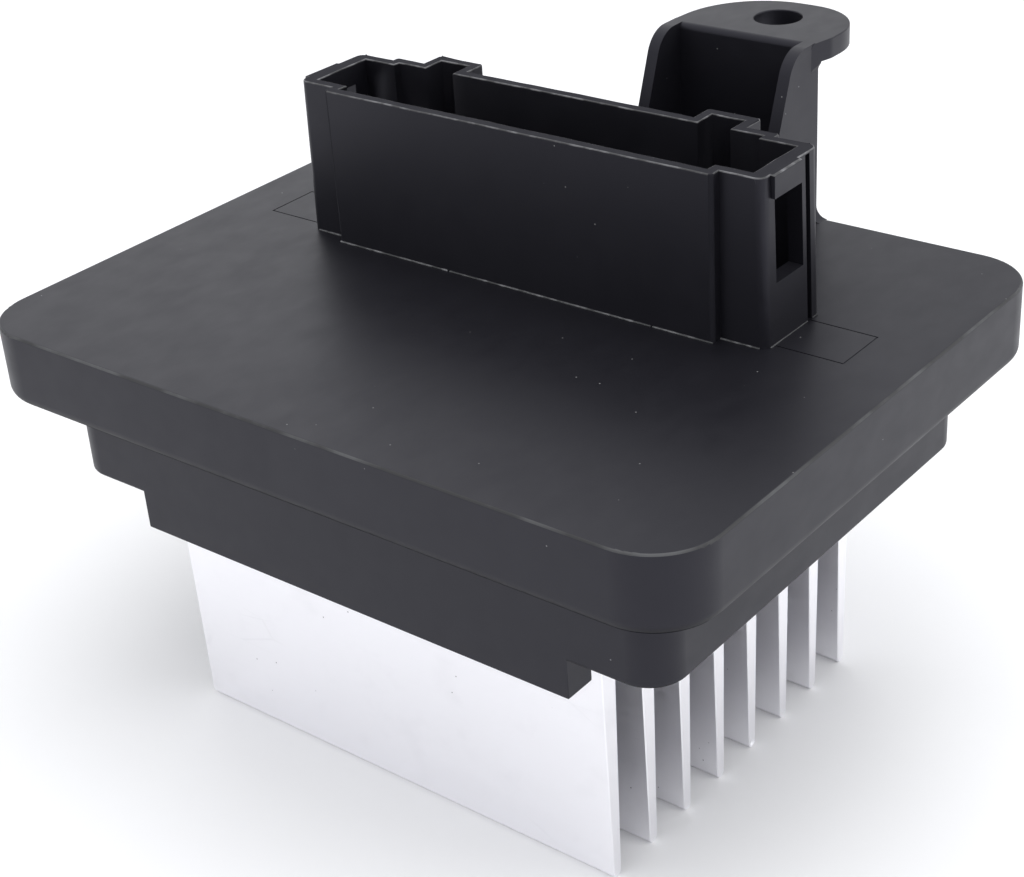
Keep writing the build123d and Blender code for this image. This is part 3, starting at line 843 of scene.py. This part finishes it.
@dataclass
class Moulding:
    """The black moulding: flange, skirt, plug socket and screw ear.

    Its shape is the CAD node's, merged into clean faces. Its sharp edges are broken, its
    rims are made a little uneven, and a hairline of flash runs along the socket's foot.

    Attributes:
        flange_top: level of the flange's upper face.
        lip_foot: level below which only the lip's lower edges lie.
        rim: level of the socket's rim.
        ear_web_y: where the ear's plate leaves its leg behind.
        rim_break: how far the socket's rim edges are broken.
        edge_break: how far the other sharp edges are broken.
        top_edge: radius of the flange's upper edge.
        step_reach: how far the socket's front steps reach from the middle, and from the front.
        rim_halvings: lengths from which the rim's edges are halved, one after another.
        rim_unevenness: how far the rim's points stray.
        rim_slack: how far off its level a strayed edge of the rim may lie.
        weld: distance up to which the CAD mesh's points are merged.
        flat_turn: angle in degrees up to which its faces are merged.
        soft_turn: angle in degrees up to which edges are shaded smooth.
        sharp_turn: angle in degrees from which the other edges are broken.
        flash_height: height of the flash line.
        flash_sunk: how far it is sunk into the flange.
        flash_step: distance of its points.
        flash_stray: how far they stray.
        flash_round: how far its edges are rounded.
        flash_turn: angle in degrees from which they are.
        flash_runs: each run's low X, low Y, high X and high Y in millimetres. The last two
            lie along the right end wall.
        finishes: the finishes of the shell's material slots.
        shell: the moulding without its flash line.
        made: the finished pieces.
    """

    flange_top: float = 8.5 * MM
    lip_foot: float = -14.3 * MM
    rim: float = 26.25 * MM
    ear_web_y: float = 34.4 * MM
    rim_break: float = 0.13 * MM
    edge_break: float = 0.12 * MM
    top_edge: float = 0.3 * MM
    step_reach: tuple[float, float] = (26.0 * MM, 4.0 * MM)
    rim_halvings: tuple[float, ...] = (24.0 * MM, 12.0 * MM, 6.0 * MM, 3.0 * MM)
    rim_unevenness: float = 0.035 * MM
    rim_slack: float = 0.12 * MM
    weld: float = 0.002 * MM
    flat_turn: float = 0.6
    soft_turn: float = 28.0
    sharp_turn: float = 60.0
    flash_height: float = 0.13 * MM
    flash_sunk: float = 0.02 * MM
    flash_step: float = 1.3 * MM
    flash_stray: float = 0.02 * MM
    flash_round: float = 0.035 * MM
    flash_turn: float = 40.0
    flash_runs: tuple[tuple[float, ...], ...] = (
        (-29.2, 3.06, -24.95, 3.26),
        (-24.7, 1.76, -9.0, 1.96),
        (-8.7, 1.76, 17.6, 1.96),
        (17.8, 1.76, 25.05, 1.96),
        (25.0, 3.06, 29.6, 3.26),
        (30.34, 3.9, 30.48, 10.85),
        (30.34, 11.75, 30.48, 12.7),
    )
    finishes: tuple[Finish, ...] = (PLASTIC, HIGHLIT_SCUFFED, HIGHLIT_RUBBED, DULLED)
    shell: Piece = field(init=False)
    made: list[Piece] = field(default_factory=list)

    def build(self) -> None:
        """Build the moulding and its flash line."""
        self.shell = self._merged_copy()
        # A bevel names its finish by the slot, so the slots are filled before it.
        put_on(self.shell, self.finishes)
        self._unsettle_rim()
        self._break_edges()
        smooth(self.shell, self.soft_turn)
        self.made = [self.shell, self._flash_line()]

    def dress(self) -> None:
        """Give the pieces their finishes and tie them to the frame."""
        for face in self.shell.data.polygons:
            # Painted highlight with faint scuffs on the flange's upper edge.
            if self._on_top_edge(face):
                face.material_index = self.finishes.index(HIGHLIT_RUBBED)
            elif self._on_step(face) or self._on_rim_top(face):
                face.material_index = self.finishes.index(DULLED)
        flash = self.made[1]
        put_on(flash, (FLASHED, HIGHLIT_RUBBED))
        # Along the right end wall the flash is fainter.
        for face in flash.data.polygons:
            face.material_index = int(face.center.x > self.flash_runs[-1][0] * MM)
        for piece in self.made:
            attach(piece, ROOT)
            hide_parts("housing")

    def _on_top_edge(self, face: bpy.types.MeshPolygon) -> bool:
        """Whether a face lies on the rounding of the flange's upper edge."""
        drop = self.flange_top - face.center.z
        return 0.0 < drop < self.top_edge and 0.3 < face.normal.z < 0.95

    def _on_step(self, face: bpy.types.MeshPolygon) -> bool:
        """Whether a face lies on the rounding of one of the socket's front steps.

        Args:
            face: the face.

        Returns:
            Whether it does.
        """
        x, y, z = face.center
        reach_x, reach_y = self.step_reach
        turned = min(abs(face.normal.x), abs(face.normal.y)) > 0.05
        return turned and z > self.flange_top and abs(x) < reach_x and y < reach_y

    def _on_rim_top(self, face: bpy.types.MeshPolygon) -> bool:
        """Whether a face is the flat top of the socket's rim."""
        return abs(face.center.z - self.rim) < self.rim_break and face.normal.z > 0.97

    def _merged_copy(self) -> Piece:
        """Copy the CAD node's mesh and merge its loose triangles into clean faces.

        Returns:
            The merged copy.
        """
        piece = bpy.data.objects.new("moulding", frame["nodes"]["housing"].data.copy())
        piece.data.name = "moulding"
        bpy.context.scene.collection.objects.link(piece)
        with EditMode(piece) as edit:
            edit.pick_all()
            bpy.ops.mesh.remove_doubles(threshold=self.weld)
            edit.merge_flat(self.flat_turn)
        return piece

    def _on_rim(self, edge: Edge, slack: float) -> bool:
        """Whether an edge is a sharp one that lies along the socket's rim."""
        low, high = levels(edge)
        return self.rim - slack < low and high < self.rim + slack and turn(edge) > self.soft_turn

    def _unsettle_rim(self) -> None:
        """Divide the rim's long edges and let their points stray a little."""
        with EditMode(self.shell) as edit:
            for length in self.rim_halvings:
                edit.pick("EDGE", lambda e: self._on_rim(e, NEAR) and e.calc_length() > length)
                bpy.ops.mesh.subdivide(number_cuts=1)
            edit.pick("EDGE", lambda e: self._on_rim(e, NEAR) and e.calc_length() > MM)
            bpy.ops.transform.vertex_random(offset=self.rim_unevenness, seed=11)

    def _break_edges(self) -> None:
        """Break the edges of the socket's rims, the ear's plate and the lip."""
        ear_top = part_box("housing")[1][2]
        plain_slot, highlit_scuffed_slot = map(self.finishes.index, (PLASTIC, HIGHLIT_SCUFFED))
        with EditMode(self.shell) as edit:
            # The rim's bevels take the lighter edge finish: painted highlight with scuffed
            # patches.
            edit.pick("EDGE", lambda e: self._on_rim(e, self.rim_slack))
            edit.bevel(self.rim_break, 2, highlit_scuffed_slot)
            edit.pick(
                "EDGE",
                lambda e: turn(e) > self.sharp_turn
                and levels(e)[0] > ear_top - NEAR
                and min(vertex.co.y for vertex in e.verts) > self.ear_web_y,
            )
            edit.bevel(self.edge_break, 2, plain_slot)
            edit.pick("EDGE", lambda e: turn(e) > self.sharp_turn and levels(e)[0] < self.lip_foot)
            edit.bevel(self.edge_break, 2, plain_slot)

    def _flash_line(self) -> Piece:
        """Model the hairline of flash along the socket's foot.

        Returns:
            The flash line.
        """
        runs = []
        foot = self.flange_top - self.flash_sunk
        top = self.flange_top + self.flash_height
        for number, corners in enumerate(self.flash_runs):
            low_x, low_y, high_x, high_y = (corner * MM for corner in corners)
            run = add_block(f"flash_run_{number}", (low_x, low_y, foot), (high_x, high_y, top))
            length = max(high_x - low_x, high_y - low_y)
            with EditMode(run) as edit:
                edit.pick("EDGE", lambda e: e.calc_length() > length - NEAR)
                bpy.ops.mesh.subdivide(number_cuts=max(2, int(length / self.flash_step)))
                edit.pick_all()
                bpy.ops.transform.vertex_random(offset=self.flash_stray, seed=number + 3)
            round_off(run, self.flash_round, 1, self.flash_turn)
            runs.append(run)
        return join(runs, "foot_flash")


@dataclass
class HeatSink:
    """Finned aluminium extrusion under the moulding.

    Attributes:
        base_thickness: thickness of the base.
        fin_count: how many fins it has.
        fin_pitch: distance from fin to fin.
        fin_root: a fin's thickness at the base.
        fin_tip: its thickness at the tip.
        tip_rounding: the share of that in each of its two roundings.
        root_radius: radius of the fillet at a fin's root.
        root_turn: angle in degrees from which an edge at a fin's root is filleted.
        end_break: how far the sawn ends' edges are broken.
        end_turn: angle in degrees from which they are.
        soft_turn: angle in degrees up to which edges are shaded smooth.
        strays: how far each fin's tip stands off its place.
        screw_spread: distance between the screw holes along X.
        screw_hole: diameter of a screw hole.
        screw_row: how many fin pitches the holes stand from the middle.
        nick_place: where along X, and in which fin's tip, a small nick was knocked.
        nick_size: the nick's size.
        middle: the extrusion's middle along Y.
        underside: level of the base's lower face.
        tip_level: level of the fins' tips.
        end: half the extrusion's length.
        sink: the extrusion.
        made: the finished piece.
    """

    base_thickness: float = 4.0 * MM
    fin_count: int = 8
    fin_pitch: float = 6.34 * MM
    fin_root: float = 2.38 * MM
    fin_tip: float = 1.2 * MM
    tip_rounding: float = 0.48
    root_radius: float = 0.4 * MM
    root_turn: float = 60.0
    end_break: float = 0.10 * MM
    end_turn: float = 40.0
    soft_turn: float = 32.0
    strays: tuple[float, ...] = tuple(
        stray * MM for stray in (0.00, 0.05, -0.04, 0.03, -0.05, 0.04, 0.02, -0.03)
    )
    screw_spread: float = 49.0 * MM
    screw_hole: float = 2.5 * MM
    screw_row: float = 3.0
    nick_place: tuple[float, int] = (28.8 * MM, 4)
    nick_size: float = 0.45 * MM
    middle: float = field(init=False)
    underside: float = field(init=False)
    tip_level: float = field(init=False)
    end: float = field(init=False)
    sink: Piece = field(init=False)
    made: list[Piece] = field(default_factory=list)

    def build(self) -> None:
        """Build the extrusion from its base down."""
        low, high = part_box("heatsink")
        self.middle = (low[1] + high[1]) / 2
        self.underside = high[2] - self.base_thickness
        self.tip_level = low[2]
        self.end = high[0]
        self.sink = add_block("heat_sink", (low[0], low[1], self.underside), tuple(high))
        self._grow_fins()
        self._round_fins()
        self._break_ends()
        self._drill()
        self._knock_nick()
        smooth(self.sink, self.soft_turn)
        self.made = [self.sink]

    def dress(self) -> None:
        """Give the extrusion its finish and tie it to the frame."""
        for piece in self.made:
            put_on(piece, (FINISHES[Slot.HEAT_SINK],))
            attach(piece, ROOT)
            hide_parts("heatsink")

    def fin_places(self) -> list[float]:
        """Each fin's middle along Y."""
        first = self.middle - self.fin_pitch * (self.fin_count - 1) / 2
        return [first + number * self.fin_pitch for number in range(self.fin_count)]

    def _grow_fins(self) -> None:
        """Mark out the fins on the base's underside, draw them down and taper them."""
        places = self.fin_places()
        half = self.fin_root / 2
        drop = self.tip_level - self.underside
        with EditMode(self.sink) as edit:
            for place in places:
                for side in (place - half, place + half):
                    edit.cut_across(Lay.ALONG_Y, side)
            edit.pick(
                "FACE",
                lambda f: f.normal.z < DOWN
                and min(abs(f.calc_center_median().y - place) for place in places) < half / 2,
            )
            bpy.ops.mesh.extrude_region_move(TRANSFORM_OT_translate={"value": (0.0, 0.0, drop)})
            for place, stray in zip(places, self.strays):
                edit.pick(
                    "FACE",
                    lambda f: f.calc_center_median().z < self.tip_level + NEAR
                    and abs(f.calc_center_median().y - place) < half,
                )
                bpy.ops.transform.resize(
                    value=(1.0, self.fin_tip / self.fin_root, 1.0),
                    center_override=(0.0, place, self.tip_level),
                )
                bpy.ops.transform.translate(value=(0.0, stray, 0.0))

    def _round_fins(self) -> None:
        """Round the tips fully and fillet the roots."""
        with EditMode(self.sink) as edit:
            edit.merge_flat(0.2)
            at_tips = self.tip_level + NEAR
            edit.pick("EDGE", lambda e: self._runs_along(e) and levels(e)[1] < at_tips)
            edit.bevel(self.fin_tip * self.tip_rounding, 5)
            edit.pick(
                "EDGE",
                lambda e: self._runs_along(e)
                and abs(levels(e)[0] - self.underside) < NEAR
                and turn(e) > self.root_turn
                and not self._is_outer(e),
            )
            edit.bevel(self.root_radius, 3)

    def _runs_along(self, edge: Edge) -> bool:
        """Whether an edge runs along the extrusion."""
        return abs(edge.verts[0].co.x - edge.verts[1].co.x) > MM

    def _is_outer(self, edge: Edge) -> bool:
        """Whether an edge is one of the base's own outer edges."""
        sides = (corner[1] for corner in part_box("heatsink"))
        return min(abs(edge.verts[0].co.y - side) for side in sides) < NEAR

    def _break_ends(self) -> None:
        """Break the edges round both sawn ends."""
        with EditMode(self.sink) as edit:
            edit.pick(
                "EDGE",
                lambda e: min(abs(vertex.co.x) for vertex in e.verts) > self.end - NEAR
                and turn(e) > self.end_turn,
            )
            edit.bevel(self.end_break, 1)

    def _drill(self) -> None:
        """Drill the four screw holes through the base."""
        length = self.base_thickness + 2 * MM
        level = self.underside + self.base_thickness / 2
        drills = []
        for side in (-1, 1):
            for row in (-self.screw_row, self.screw_row):
                place = (side * self.screw_spread / 2, self.middle + row * self.fin_pitch, level)
                name = f"drill_{len(drills)}"
                drills.append(add_rod(name, place, self.screw_hole / 2, length, 24))
        cut(self.sink, join(drills, "drills"))

    def _knock_nick(self) -> None:
        """Knock a small nick into the corner of one fin's tip."""
        x, number = self.nick_place
        put_down_all()
        bpy.ops.mesh.primitive_ico_sphere_add(
            subdivisions=2,
            radius=self.nick_size,
            location=(x, self.fin_places()[number], self.tip_level + self.nick_size),
        )
        cut(self.sink, settle("knock"))


@dataclass
class BladeTerminals:
    """The five blades in the socket, each with solder tails through the board.

    Attributes:
        wide_from: width from which a blade is a wide one, with two tails and a hole.
        hole: radius of the locating hole near a wide blade's tip.
        hole_from_tip: distance of that hole from the tip.
        punch_reach: length of the tool that cuts the hole.
        taper: how far a blade's tip is thinned.
        edge_break: how far the sheared edges are broken.
        sharp_turn: angle in degrees from which they are.
        soft_turn: angle in degrees up to which edges are shaded smooth.
        tail_length: length of a solder tail.
        tail_width: its width.
        tail_narrowing: what is left of the tails' width and thickness at their ends.
        names: the CAD nodes that the blades stand for.
        made: the finished blades.
    """

    wide_from: float = 5.0 * MM
    hole: float = 0.75 * MM
    hole_from_tip: float = 3.2 * MM
    punch_reach: float = 4.0 * MM
    taper: float = 0.30 * MM
    edge_break: float = 0.05 * MM
    sharp_turn: float = 50.0
    soft_turn: float = 35.0
    tail_length: float = 2.4 * MM
    tail_width: float = 1.2 * MM
    tail_narrowing: tuple[float, float] = (0.92, 0.7)
    names: tuple[str, ...] = tuple(
        f"{use}_terminal" for use in ("supply", "control", "feedback", "ground", "motor")
    )
    made: list[Piece] = field(default_factory=list)

    def build(self) -> None:
        """Model one wide and one narrow blade, and copy them to their places."""
        models: dict[int, tuple[Piece, Vector]] = {}
        for name in self.names:
            low, high = (Vector(corner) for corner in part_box(name))
            width = round((high.x - low.x) / MM * 10)
            if width in models:
                model, place = models[width]
                piece = twin(model, f"{name}_blade", tuple(low - place))
            else:
                piece = self._model(f"{name}_blade", low, high)
                models[width] = (piece, low)
            self.made.append(piece)

    def dress(self) -> None:
        """Give the blades their finish, tie them to the frame and hide their CAD nodes."""
        for piece, name in zip(self.made, self.names):
            put_on(piece, (FINISHES[Slot.TERMINAL],))
            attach(piece, ROOT)
            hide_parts(name)

    def _model(self, name: str, low: Vector, high: Vector) -> Piece:
        """Model one blade inside its CAD node's box.

        Args:
            name: the blade's name.
            low: the box's lowest corner.
            high: the box's highest corner.

        Returns:
            The blade.
        """
        middle = (low + high) / 2
        shoulder = low.z + self.tail_length
        half = self.tail_width / 2
        wide = high.x - low.x > self.wide_from
        tails = (low.x + half, high.x - half) if wide else (middle.x,)
        blade = add_block(name, (low.x, low.y, shoulder), tuple(high))
        with EditMode(blade) as edit:
            for side in (tail + reach for tail in tails for reach in (-half, half)):
                if low.x + NEAR < side < high.x - NEAR:
                    edit.cut_across(Lay.ALONG_X, side)
            edit.pick(
                "FACE",
                lambda f: f.normal.z < DOWN
                and min(abs(f.calc_center_median().x - tail) for tail in tails) < half,
            )
            bpy.ops.mesh.extrude_region_move(
                TRANSFORM_OT_translate={"value": (0.0, 0.0, -self.tail_length)}
            )
            edit.pick("FACE", lambda f: f.calc_center_median().z < low.z + NEAR)
            bpy.ops.transform.resize(
                value=(*self.tail_narrowing, 1.0), center_override=(middle.x, middle.y, low.z)
            )
            edit.merge_flat(0.2)
            edit.pick("EDGE", lambda e: levels(e)[0] > high.z - NEAR)
            edit.bevel(self.taper, 2)
        if wide:
            place = (middle.x, middle.y, high.z - self.hole_from_tip)
            cut(blade, add_rod("punch", place, self.hole, self.punch_reach, 28, math.pi / 2))
        round_off(blade, self.edge_break, 1, self.sharp_turn)
        smooth(blade, self.soft_turn)
        return blade


@dataclass
class CarriedNodes:
    """CAD nodes whose shape stays as it is and which only get a better finish.

    Attributes:
        skip: nodes that a detailed piece stands for.
    """

    skip: frozenset[str]

    def dress(self) -> int:
        """Give every carried node the finish of its slot.

        Returns:
            How many nodes were dressed.
        """
        slots = {part["node"]: Slot(part["material_slot"]) for part in frame["record"]["subparts"]}
        carried = [name for name in frame["nodes"] if name not in self.skip]
        for name in carried:
            put_on(frame["nodes"][name], (FINISHES[slots[name]],))
        return len(carried)


@dataclass(frozen=True)
class Softbox:
    """A rectangular soft light, aimed at the origin.

    Attributes:
        name: its name.
        place: where it hangs.
        width: its width.
        height: its height.
        power: its power in watts.
    """

    name: str
    place: Point
    width: float
    height: float
    power: float

    def hang(self) -> None:
        """Hang the light."""
        data = bpy.data.lights.new(self.name, "AREA")
        data.shape = "RECTANGLE"
        data.size = self.width
        data.size_y = self.height
        data.energy = self.power
        light = bpy.data.objects.new(self.name, data)
        light.location = self.place
        light.rotation_euler = (-Vector(self.place)).to_track_quat("-Z", "Y").to_euler()
        bpy.context.scene.collection.objects.link(light)


@dataclass
class Studio:
    """Floor, soft lights and the camera at the photograph's place.

    Attributes:
        eye: where the camera stands.
        right: the camera's own right.
        up: the camera's own up.
        back: the direction from the scene to the camera.
        lens: focal length in millimetres.
        sensor: sensor width in millimetres.
        floor_reach: half the floor's side.
        sky: strength of the even light from all round.
        sky_colour: its colour.
        softboxes: the soft lights.
    """

    eye: Point = (0.122234, -0.145130, 0.096572)
    right: Point = (0.7850, 0.6164, -0.0620)
    up: Point = (-0.2576, 0.4157, 0.8722)
    back: Point = (0.5635, -0.6687, 0.4851)
    lens: float = 69.93
    sensor: float = 36.0
    floor_reach: float = 2.5
    sky: float = 1.0
    sky_colour: Colour = (0.97, 0.98, 1.0)
    softboxes: tuple[Softbox, ...] = (
        Softbox("key_softbox", (0.10, -0.05, 0.62), 0.50, 0.50, 1.6),
        Softbox("right_softbox", (0.62, 0.30, 0.30), 0.40, 0.50, 0.8),
        Softbox("left_softbox", (-0.50, 0.40, 0.40), 0.40, 0.40, 0.25),
    )

    def build(self) -> None:
        """Set up the floor, the sky, the lights and the camera."""
        self._lay_floor()
        self._light_sky()
        for softbox in self.softboxes:
            softbox.hang()
        self._place_camera()

    def _lay_floor(self) -> None:
        """Lay a pale floor where the fins' tips stand."""
        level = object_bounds()[0][2]
        put_down_all()
        bpy.ops.mesh.primitive_plane_add(size=2 * self.floor_reach, location=(0.0, 0.0, level))
        floor = settle("floor")
        floor.data.materials.append(PaleFloor("pale_floor").material())
        floor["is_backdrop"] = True

    def _light_sky(self) -> None:
        """Light the scene evenly from all round."""
        world = bpy.data.worlds.new("studio")
        world.use_nodes = True
        shade = world.node_tree.nodes["Background"]
        shade.inputs["Color"].default_value = (*self.sky_colour, 1.0)
        shade.inputs["Strength"].default_value = self.sky
        bpy.context.scene.world = world
        bpy.context.scene.view_settings.view_transform = "Standard"

    def _place_camera(self) -> None:
        """Place the camera where the photograph was taken from."""
        data = bpy.data.cameras.new("camera")
        data.sensor_fit = "HORIZONTAL"
        data.sensor_width = self.sensor
        data.lens = self.lens
        data.clip_start = 0.01
        camera = bpy.data.objects.new("camera", data)
        turned = Matrix((self.right, self.up, self.back)).transposed().to_4x4()
        camera.matrix_world = Matrix.Translation(self.eye) @ turned
        bpy.context.scene.collection.objects.link(camera)
        bpy.context.scene.camera = camera


def main() -> None:
    """Build every sub-assembly, dress it and report it."""
    logging.basicConfig(level=logging.INFO, format="%(name)s: %(message)s")
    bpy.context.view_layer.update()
    put_down_all()
    moulding = Moulding()
    heat_sink = HeatSink()
    blades = BladeTerminals()
    for assembly in (moulding, heat_sink, blades):
        assembly.build()
        assembly.dress()
        for piece in assembly.made:
            LOG.info("%s: %d faces", piece.name, len(piece.data.polygons))
    carried = CarriedNodes(frozenset(("housing", "heatsink", *blades.names)))
    LOG.info("carried nodes dressed: %d", carried.dress())
    Studio().build()
    put_down_all()


if __name__ == "__main__":
    main()
